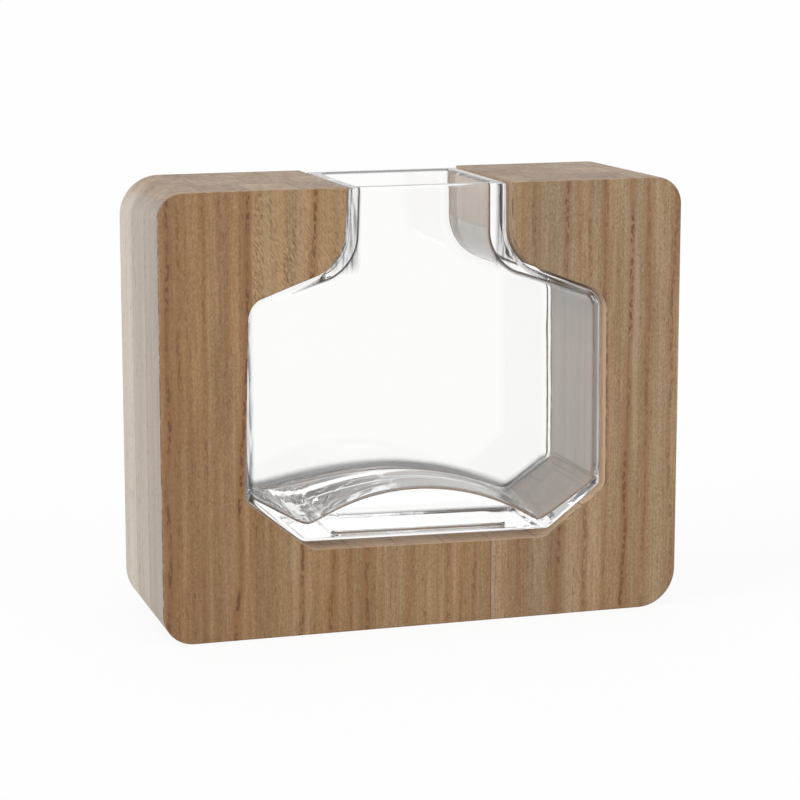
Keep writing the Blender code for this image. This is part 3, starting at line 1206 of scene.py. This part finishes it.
@dataclass
class WoodenBlock:
    """The block of glued staves, modelled whole and then sliced.

    Attributes:
        cut: The bottle-shaped cut through the block.
        low: The block's lowest corner.
        high: Its highest corner.
        corner_radius: The radius with which the block's four long outer corners are first rounded.
        corner_segments: How many faces make each of these rounds.
        corners: What each of these rounds is then shaped to.
        arris: The small round along the front and back edges.
        divide: The height at which lower and upper pieces are told apart.
        glue_line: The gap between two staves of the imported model, which the slices close.
        shown_joint: The one joint that shows as a line on the front, along X.
        line_reach: How far beside its middle a growth line still shows.
        growth_lines: The darker lines that the front shows.
        hidden_lines: Between which shares of its width each growth line of a stave inside or behind
            lies, and between which strengths.
        outside: Where the glue line of a stave's outer face lies: far away.
        rippled: The staves with a rippled figure.
    """

    cut: BottleShape
    low: Vector
    high: Vector
    corner_radius: float = 11.0 * MM
    corner_segments: int = 14
    corners: tuple[OuterRound, ...] = (
        OuterRound(-1.0, True, 8.2 * MM, 12.7 * MM),
        OuterRound(1.0, True, 8.8 * MM, 11.0 * MM),
        OuterRound(-1.0, False, 9.8 * MM, 12.5 * MM),
        OuterRound(1.0, False, 12.5 * MM, 11.0 * MM),
    )
    arris: float = 0.45 * MM
    divide: float = 73.575 * MM
    glue_line: float = 0.3 * MM
    shown_joint: float = 21.5 * MM
    line_reach: float = 2.5 * MM
    growth_lines: tuple[GrowthLine, ...] = FRONT_LINES
    hidden_lines: tuple[tuple[float, ...], ...] = ((0.1, 0.5, 0.3, 0.9), (0.5, 0.9, 0.2, 0.7))
    outside: float = 1000.0
    rippled: tuple[str, ...] = ("front_stave_03_upper", "front_stave_04_upper")

    def build(self, plain: Material, figured: Material) -> None:
        """Model the block, slice it and dress every stave.

        Args:
            plain: The finish of most staves.
            figured: The finish of the staves with a rippled figure.
        """
        master = self.model_whole()
        for name in sorted(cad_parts):
            if "_stave_" not in name:
                continue
            start, end = self.limits(name)
            stave = self.slice_stave(master, name, start, end)
            self.mark(stave, name, start, end)
            stave.dress(figured if name in self.rippled else plain, 30.0)
            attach(stave.obj, "block")
            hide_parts(name)
        bpy.data.objects.remove(master.obj, do_unlink=True)

    def model_whole(self) -> Bench:
        """Model the block in one piece, with its cut and its rounded edges.

        Returns:
            The bench with the block.
        """
        block = Bench.cube("whole_block", self.low, self.high)
        with block.editing():
            block.pick("EDGE", runs_along_y)
            block.round_off(self.corner_radius, self.corner_segments)
            for corner in self.corners:
                corner.shape(block, self.low, self.high, self.corner_radius)
        tool = self.cut.rough_out("cut_tool")
        with tool.editing():
            self.cut.round_corners(tool, Level.NECK, Level.SHOULDER, Level.SIDE, Level.FLOOR)
        block.cut_with(tool)
        with block.editing():
            block.pick("EDGE", lambda edge: turns(edge, 60.0))
            block.round_off(self.arris, 3)
        return block

    def span(self, name: str) -> Span:
        """How much of the height the stave of that name covers."""
        return next((span for span in Span if name.endswith(span.value)), Span.WHOLE)

    def limits(self, name: str) -> tuple[Vector, Vector]:
        """The box out of which a stave is sliced. It runs to the middle of each glue line.

        Args:
            name: The stave's node.

        Returns:
            The box's lowest and highest corner. Outside it is a little bigger than the block.
        """
        node_low, node_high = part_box(name)
        half = Vector((self.glue_line / 2,) * 3)
        start = node_low - half
        end = node_high + half
        span = self.span(name)
        start.z = self.divide if span is Span.UPPER else self.low.z - self.glue_line
        end.z = self.divide if span is Span.LOWER else self.high.z + self.glue_line
        return start, end

    def slice_stave(self, master: Bench, name: str, start: Vector, end: Vector) -> Bench:
        """Slice one stave out of a copy of the whole block.

        Args:
            master: The whole block.
            name: The stave's node.
            start: The lowest corner of the stave's box.
            end: The highest corner of the stave's box.

        Returns:
            The bench with the stave.
        """
        stave = master.copy(name.replace("stave", "board"))
        with stave.editing():
            for axis in (2, 0, 1):
                normal = Vector((0.0, 0.0, 0.0))
                normal[axis] = 1.0
                if end[axis] < self.high[axis]:
                    stave.slice_off(end, normal)
                if start[axis] > self.low[axis]:
                    stave.slice_off(start, -normal)
        return stave

    def mark(self, stave: Bench, name: str, start: Vector, end: Vector) -> None:
        """Write on the stave what its finish needs to know.

        The front's staves were matched so well that one figure runs on over most of their joints.

        Args:
            stave: The bench with the stave.
            name: The stave's node.
            start: The lowest corner of the stave's box.
            end: The highest corner of the stave's box.
        """
        board = name.removesuffix("_lower").removesuffix("_upper")
        dice = random.Random(board)
        left = start.x if start.x > self.low.x else -self.outside
        right = end.x if end.x < self.high.x else self.outside
        front = start.y if start.y > self.low.y else -self.outside
        back = end.y if end.y < self.high.y else self.outside
        layer = Layer(name.split("_")[0])
        # How much paler the sides of each layer are painted, palest at the back.
        side_lift_by_layer = {Layer.FRONT: -0.12, Layer.MIDDLE: 0.0, Layer.BACK: 0.3}[layer]
        paler = (start.x + end.x) / 2 > self.shown_joint
        figure = random.Random(f"front {paler}" if layer is Layer.FRONT else board)
        values = {
            "seed": tuple(figure.uniform(-500.0, 500.0) for _ in range(3)),
            "tint": (dice.uniform(-0.26, 0.26), side_lift_by_layer, float(paler)),
            "sides": (left / MM, right / MM, self.joint_strength(left)),
            "faces": (front / MM, back / MM, self.joint_strength(right)),
        }
        for number, line in enumerate(self.lines_in(layer, self.span(name), start, end, dice)):
            values[f"line_{number}"] = (line.foot / MM, line.lean, line.strength)
        mesh = stave.obj.data
        for attribute, value in values.items():
            stored = mesh.attributes.new(attribute, "FLOAT_VECTOR", "POINT")
            stored.data.foreach_set("vector", value * len(mesh.vertices))

    def joint_strength(self, x: float) -> float:
        """How much a joint at a place along X shows on the front."""
        return 0.75 if near(x, self.shown_joint, 0.2 * MM) else 0.1

    def lines_in(self, layer: Layer, span: Span, start: Vector, end: Vector,
                 dice: random.Random) -> list[GrowthLine]:
        """The growth lines of a stave.

        Args:
            layer: The stave's layer.
            span: How much of the height it covers.
            start: The lowest corner of its box.
            end: The highest corner of its box.
            dice: Draws the lines that the photograph doesn't show.

        Returns:
            The lines, with a strength of 0 where there are too few.
        """
        if layer is Layer.FRONT:
            middle = (start.z + end.z) / 2
            near_left, near_right = start.x - self.line_reach, end.x + self.line_reach
            found = [
                line
                for line in self.growth_lines
                if near_left < line.foot + line.lean * middle < near_right
                and line.missing is not span
            ]
        else:
            found = [
                GrowthLine(
                    start.x + (end.x - start.x) * dice.uniform(nearest, farthest),
                    dice.uniform(-0.02, 0.03),
                    dice.uniform(faintest, darkest),
                )
                for nearest, farthest, faintest, darkest in self.hidden_lines
            ]
        found = sorted(found, key=lambda line: -line.strength)[:LINES_PER_STAVE]
        return found + [GrowthLine(0.0, 0.0, 0.0)] * (LINES_PER_STAVE - len(found))


@dataclass(frozen=True)
class DomeProfile:
    """The hollow's floor seen from the front: a dome between two slanted corners.

    Attributes:
        left: Where the dome meets the left slanted corner along X.
        right: Where it meets the right one.
        top_x: Where its top is along X.
        top_z: The top's height.
        blend: How softly the dome goes over into the slanted corners.
    """

    left: float
    right: float
    top_x: float
    top_z: float
    blend: float = 2.2 * MM

    def height(self, x: float, shape: BottleShape) -> float:
        """The floor's height at one place.

        Args:
            x: The place along X.
            shape: The hollow, whose floor corners lie on the slanted corners.

        Returns:
            The height.
        """
        foot, half = (self.left, shape.left) if x < self.top_x else (self.right, shape.right)
        slanted = half[Level.SIDE], half[Level.FLOOR]
        slant = shape.on_line(x, *slanted)
        run = abs(foot - self.top_x)
        drop = self.top_z - shape.on_line(foot, *slanted)
        radius = (run**2 + drop**2) / (2 * drop)
        arc = self.top_z - radius + math.sqrt(max(radius**2 - (x - self.top_x) ** 2, 0.0))
        return (slant + arc + math.hypot(slant - arc, self.blend)) / 2


@dataclass
class GlassVase:
    """The bottle-shaped vase of clear glass.

    Attributes:
        outside: The outer shape.
        hollow: The inner shape, whose floor is replaced by the dome.
        edge_radius: The round along the front and back edges outside.
        front_radius: The round inside between the front wall and the others.
        back_radius: The round inside between the back wall and the others.
        dome_strips: How many strips make the dome.
        dome_front: The dome's outline at the front.
        dome_back: The dome's outline at the back.
        dome_slices: In how many slices the dome is cut from front to back.
        punt_margin: How far the punt's edge is from the base's edge.
        punt_height: How deep the punt is.
        punt_radius: The rounds at the punt's corners.
        punt_arris: The small rounds along its edges.
        rim_radius: The rounds on both sides of the rim.
    """

    outside: BottleShape
    hollow: BottleShape
    edge_radius: float = 1.8 * MM
    front_radius: float = 1.5 * MM
    back_radius: float = 3.3 * MM
    dome_strips: int = 52
    dome_front: DomeProfile = DomeProfile(-37.18 * MM, 39.58 * MM, -2.55 * MM, 42.97 * MM)
    dome_back: DomeProfile = DomeProfile(-44.78 * MM, 42.88 * MM, -3.55 * MM, 42.79 * MM)
    dome_slices: int = 8
    punt_margin: float = 12.0 * MM
    punt_height: float = 1.3 * MM
    punt_radius: float = 3.0 * MM
    punt_arris: float = 0.4 * MM
    rim_radius: float = 1.1 * MM

    def build(self, finish: Material) -> None:
        """Model the vase and dress it.

        Args:
            finish: The glass.
        """
        vase = self.model_outside()
        self.join_at_rim(vase, self.model_hollow())
        vase.dress(finish, 50.0)
        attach(vase.obj, "vase")
        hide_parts("glass_vase")

    def model_outside(self) -> Bench:
        """Model the outer shell, with the punt pressed into its base.

        Returns:
            The bench with the shell, which is open at the top.
        """
        shape = self.outside
        shell = shape.rough_out("glass_bottle")
        with shell.editing():
            shape.round_corners(shell, Level.NECK, Level.SHOULDER, Level.SIDE, Level.FLOOR)
            for y in (shape.front, shape.back):
                shape.round_face(shell, y, self.edge_radius, 8)
            self.press_punt(shell)
            self.open_top(shell, shape.top)
        return shell

    def press_punt(self, shell: Bench) -> None:
        """Press the shallow punt into the base.

        Args:
            shell: The outer shell, in edit mode.
        """
        shape = self.outside
        shell.pick("FACE", lambda face: all(shape.on_floor(v) for v in face.verts))
        bpy.ops.mesh.inset(thickness=self.punt_margin - self.edge_radius, depth=0.0)
        shell.extrude(Vector((0.0, 0.0, self.punt_height)))
        shell.pick(
            "EDGE",
            lambda edge: near(edge.verts[0].co.x, edge.verts[1].co.x)
            and near(edge.verts[0].co.y, edge.verts[1].co.y)
            and any(shape.on_floor(v, self.punt_height) for v in edge.verts)
            and any(shape.on_floor(v) for v in edge.verts),
        )
        shell.round_off(self.punt_radius, 6)
        half_depth = shape.back - self.punt_margin + MM
        for above in (0.0, self.punt_height):
            shell.pick(
                "EDGE",
                lambda edge: turns(edge, 60.0)
                and all(shape.on_floor(v, above) and abs(v.co.y) < half_depth for v in edge.verts),
            )
            shell.round_off(self.punt_arris, 3)

    def model_hollow(self) -> Bench:
        """Model the inner shell, whose floor rises to a dome between the slanted corners.

        Returns:
            The bench with the shell, which is open at the top.
        """
        shape = self.hollow
        shell = shape.rough_out("glass_hollow")
        with shell.editing():
            shape.round_corners(shell, Level.NECK, Level.SHOULDER, Level.SIDE)
            self.raise_dome(shell)
            shape.round_face(shell, shape.front, self.front_radius, 6)
            shape.round_face(shell, shape.back, self.back_radius, 8)
            highest = shape.left[Level.SIDE].z
            for step in range(1, self.dome_slices):
                shell.pick("FACE", lambda face: face.calc_center_median().z < highest)
                y = shape.front + (shape.back - shape.front) * step / self.dome_slices
                bpy.ops.mesh.bisect(plane_co=(0.0, y, 0.0), plane_no=(0.0, 1.0, 0.0))
            self.open_top(shell, shape.top)
        return shell

    def raise_dome(self, shell: Bench) -> None:
        """Raise the hollow's floor to a dome, strip by strip.

        Args:
            shell: The inner shell, in edit mode.
        """
        shape = self.hollow
        shell.pick(
            "EDGE", lambda edge: all(map(shape.on_floor, edge.verts)) and not runs_along_y(edge)
        )
        bpy.ops.mesh.subdivide(number_cuts=self.dome_strips - 1)
        start, end = shape.left[Level.FLOOR].x, shape.right[Level.FLOOR].x
        for profile, y in ((self.dome_front, shape.front), (self.dome_back, shape.back)):
            for step in range(self.dome_strips + 1):
                x = start + (end - start) * step / self.dome_strips
                rise = profile.height(x, shape) - shape.floor_height(x)
                shell.pick(
                    "VERT", lambda v: shape.on_floor(v) and near(v.co.x, x) and near(v.co.y, y)
                )
                bpy.ops.transform.translate(value=(0.0, 0.0, rise))

    def open_top(self, shell: Bench, top: float) -> None:
        """Take the top face off a shell.

        Args:
            shell: The shell, in edit mode.
            top: The height of that face.
        """
        shell.pick(
            "FACE", lambda face: face.normal.z > 0.9 and near(face.calc_center_median().z, top)
        )
        bpy.ops.mesh.delete(type="ONLY_FACE")

    def join_at_rim(self, vase: Bench, inner: Bench) -> None:
        """Join the two shells with a rounded rim.

        Args:
            vase: The outer shell, which takes in the other.
            inner: The inner shell.
        """
        top = self.outside.top
        inner_top = self.hollow.top
        vase.take()
        inner.obj.select_set(True)
        bpy.ops.object.join()
        with vase.editing():
            vase.pick(
                "EDGE",
                lambda edge: edge.is_boundary
                and (is_level(edge, top) or is_level(edge, inner_top)),
            )
            bpy.ops.mesh.bridge_edge_loops()
            vase.pick("VERT", lambda v: near(v.co.z, inner_top))
            bpy.ops.transform.translate(value=(0.0, 0.0, top - inner_top))
            bpy.ops.mesh.select_all(action="SELECT")
            bpy.ops.mesh.normals_make_consistent(inside=False)
            vase.pick("EDGE", lambda edge: is_level(edge, top) and turns(edge, 60.0))
            vase.round_off(self.rim_radius, 6)


@dataclass
class Studio:
    """The pale floor, the soft lights and the camera.

    Attributes:
        camera_place: Where the camera stands.
        camera_turn: Its tilt, its roll and its turn about Z, in degrees.
        lens: Its focal length for a sensor 36 mm wide, in millimetres.
        floor_size: The floor's edge length.
        lamps: The name, the place and the strength of each soft lamp.
        lamp_width: How wide each lamp is as seen from the object, in degrees.
        light_steps: How many times light may turn inside the glass before it counts as dark.
        spent: The grey that is left of the white after many turns inside the glass.
        fade: After how many turns the white begins to fade, and after how many it is spent.
        pale: The floor's colour where it isn't seen directly.
        surround: How strong the light from all around is.
    """

    camera_place: Triple = (-0.25939, -0.81727, 0.22705)
    camera_turn: Triple = (79.475, 0.0, -17.605)
    lens: float = 121.9
    floor_size: float = 40.0
    lamps: tuple[tuple[str, Triple, float], ...] = (
        ("key", (-0.85, -0.25, 0.45), 1.9),
        ("fill", (0.5, -0.75, 0.45), 0.5),
        ("top", (0.0, 0.1, 1.0), 0.5),
    )
    lamp_width: float = 50.0
    light_steps: int = 40
    spent: Triple = (0.16, 0.165, 0.175)
    fade: Pair = (5.0, 11.0)
    pale: Triple = (0.86, 0.86, 0.86)
    surround: float = 0.55

    def build(self) -> None:
        """Set up the whole studio."""
        self.place_camera()
        self.lay_floor()
        self.hang_lamps()
        self.light_world()
        bpy.context.scene.view_settings.view_transform = "Standard"
        cycles = bpy.context.scene.cycles
        cycles.max_bounces = cycles.transmission_bounces = cycles.glossy_bounces = self.light_steps

    def set_up(self, data: ID, place: Triple, turn: Any) -> Object:
        """Put a camera or a lamp in the scene.

        Args:
            data: The camera or the lamp.
            place: Where it stands.
            turn: Its turn about each axis.

        Returns:
            The object.
        """
        thing = bpy.data.objects.new(data.name, data)
        thing.location = place
        thing.rotation_euler = turn
        bpy.context.scene.collection.objects.link(thing)
        return thing

    def place_camera(self) -> None:
        """Make the camera and look through it."""
        data = bpy.data.cameras.new("camera")
        data.lens = self.lens
        data.sensor_width = 36.0
        data.clip_start = 0.01
        turn = [math.radians(angle) for angle in self.camera_turn]
        bpy.context.scene.camera = self.set_up(data, self.camera_place, turn)

    def lay_floor(self) -> None:
        """Lay the floor, which is white to the eye and still takes a faint shadow."""
        half = self.floor_size / 2
        floor = Bench.cube("floor", Vector((-half, -half, -0.02)), Vector((half, half, 0.0))).obj
        material, graph, shader = start_material("studio_floor")
        graph.feed(shader.inputs["Base Color"], self.pale)
        graph.feed(shader.inputs["Roughness"], 0.9)
        glow = graph.add("ShaderNodeEmission")
        graph.feed(glow.inputs["Color"], self.seen_colour(graph))
        graph.mix_shaders(self.seen_directly(graph) * 0.9, shader, glow, "Material Output")
        floor.data.materials.append(material)

    def seen_directly(self, graph: Graph) -> Value:
        """Tell what is seen, also through glass or in a gloss, from what only gives light.

        Args:
            graph: The graph of the floor's material or of the world.

        Returns:
            1 for what is seen, and otherwise 0.
        """
        seen: Any = 0.0
        for kind in ("Camera", "Glossy", "Transmission"):
            seen = graph.work("MAXIMUM", seen, graph.read("ShaderNodeLightPath", f"Is {kind} Ray"))
        return seen

    def seen_colour(self, graph: Graph) -> Value:
        """White, which gets greyer the more often the ray has turned inside the glass."""
        depth = graph.read("ShaderNodeLightPath", "Ray Depth")
        return graph.blend(graph.ease(depth, *self.fade), WHITE, self.spent)

    def hang_lamps(self) -> None:
        """Hang the soft lamps, which light the whole floor evenly."""
        for name, place, strength in self.lamps:
            data = bpy.data.lights.new(name, "SUN")
            data.energy = strength
            data.angle = math.radians(self.lamp_width)
            self.set_up(data, place, Vector(place).to_track_quat("Z", "Y").to_euler())

    def light_world(self) -> None:
        """Surround the object with white, which gives less light than it shows."""
        world = bpy.data.worlds.new("studio")
        world.use_nodes = True
        bpy.context.scene.world = world
        graph = Graph(world.node_tree)
        shown = graph.add("ShaderNodeBackground")
        graph.feed(shown.inputs["Color"], self.seen_colour(graph))
        soft = world.node_tree.nodes["Background"]
        graph.feed(soft.inputs["Color"], WHITE)
        graph.feed(soft.inputs["Strength"], self.surround)
        graph.mix_shaders(self.seen_directly(graph), soft, shown, "World Output")


@dataclass(frozen=True)
class CutLevel:
    """One level of the cut: a pair of corners that isn't quite in the block's middle or level.

    Attributes:
        half_width: Half the cut's width there.
        height: The corners' mean height.
        shift: How far the pair is to the right of the block's middle.
        tilt: How far it drops per length to the right.
        radius: The radius of the corners' rounds.
        segments: How many faces make a round.
    """

    half_width: float
    height: float
    shift: float
    tilt: float = 0.0
    radius: float = 0.0
    segments: int = 0

    def corner(self, side: float) -> Corner:
        """The corner on the right, for a side of 1, or on the left, for a side of -1."""
        x = self.half_width * side
        return Corner(self.shift + x, self.height - self.tilt * x, self.radius, self.segments)


@dataclass(frozen=True)
class BottleCut:
    """The bottle-shaped cut through the block.

    Attributes:
        levels: Its pairs of corners, from above the block's top down to the floor.
        overrun: How far the cutting tool runs past the front and the back.
    """

    levels: tuple[CutLevel, ...] = (
        CutLevel(26.4167 * MM, 148.0 * MM, 1.4 * MM),
        CutLevel(27.35 * MM, 116.0 * MM, 0.7 * MM, 0.0, 13.8 * MM, 18),
        CutLevel(58.45 * MM, 104.45 * MM, 1.5 * MM, 0.0147, 7.0 * MM, 12),
        CutLevel(59.5 * MM, 42.7 * MM, 0.9 * MM, 0.0218, 4.0 * MM, 10),
        CutLevel(38.9 * MM, 26.7 * MM, 1.2 * MM, 0.0183, 7.0 * MM, 10),
    )
    overrun: float = 8.0 * MM

    def shape(self) -> BottleShape:
        """Place the cut in the block.

        Returns:
            Its shape, which runs past the block's front, back and top.
        """
        low, high = cad_box
        right, left = (
            dict(zip(Level, (row.corner(side) for row in self.levels))) for side in (1.0, -1.0)
        )
        return BottleShape(right, left, low.y - self.overrun, high.y + self.overrun)


@dataclass(frozen=True)
class GlassFit:
    """How the glass fits in the cut, and how thick it is.

    Attributes:
        gap: How far the outside is set in from the cut.
        walls: How far the hollow is set in from the outside.
        rim_drop: How far the hollow is first modelled below the rim.
        wall: How thick the front and back walls are.
        neck_drop: How much lower the hollow's shoulders begin than they would with even walls.
        valley_in: How far inside the outer floor corner the valley beside the dome lies.
        valley_height: How high the valley is in its middle.
        valley_middle: Where that is along X.
        valley_tilt: How far it drops per length to the right.
        land: How far inside its side corner the hollow's floor corner lies.
    """

    gap: Inset = Inset(0.75, 0.75, 0.75, 0.3, 1.8, (14.55, 6.25, 3.5, 3.5))
    walls: Inset = Inset(4.45, 0.8, 1.05, 1.25, 0.0, (13.5, 6.0, 4.0))
    rim_drop: float = 3.0 * MM
    wall: float = 4.2 * MM
    neck_drop: float = 2.2 * MM
    valley_in: float = 2.35 * MM
    valley_height: float = 30.95 * MM
    valley_middle: float = 1.1 * MM
    valley_tilt: float = 0.048
    land: float = 5.3 * MM

    def shapes(self, cut: BottleShape) -> tuple[BottleShape, BottleShape]:
        """The outside and the hollow of the glass.

        Args:
            cut: The cut in which the glass stands.

        Returns:
            The outside and the hollow.
        """
        low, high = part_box("glass_vase")
        outside = replace(cut.set_in(self.gap, cut.top - high.z), front=low.y, back=high.y)
        hollow = outside.set_in(self.walls, self.rim_drop)
        return outside, replace(
            hollow,
            right=self.inner_half(hollow.right, outside.right),
            left=self.inner_half(hollow.left, outside.left),
            front=low.y + self.wall,
            back=high.y - self.wall,
        )

    def inner_half(self, inner: Half, outer: Half) -> Half:
        """One half of the hollow, with its neck and floor corners where the glass is thicker.

        Args:
            inner: The hollow's corners, set in evenly.
            outer: The corners of the outside.

        Returns:
            The hollow's corners. The floor corner lies on the slant down to the dome's valley.
        """
        neck, side = inner[Level.NECK], inner[Level.SIDE]
        inwards = math.copysign(1.0, -side.x)
        valley_x = outer[Level.FLOOR].x + self.valley_in * inwards
        valley_z = self.valley_height - self.valley_tilt * (valley_x - self.valley_middle)
        slope = (side.z - valley_z) / (side.x - valley_x)
        land = self.land * inwards
        floor = Corner(side.x + land, side.z + slope * land)
        return inner | {Level.NECK: replace(neck, z=neck.z - self.neck_drop), Level.FLOOR: floor}


def main() -> None:
    """Build the studio, the block and the vase."""
    logging.basicConfig(level=logging.INFO, format="%(message)s")
    Studio().build()
    log.info("studio: floor, lamps and camera")
    effects = WoodEffects()
    cut = BottleCut().shape()
    sanded = WoodFinish("sanded_wood")
    rippled = WoodFinish("rippled_wood", curl=2.4, flecks=0.5, middle=(0.322, 0.204, 0.107))
    WoodenBlock(cut, *cad_box).build(sanded.build(effects), rippled.build(effects))
    GlassVase(*GlassFit().shapes(cut)).build(GlassFinish().build())


if __name__ == "__main__":
    main()
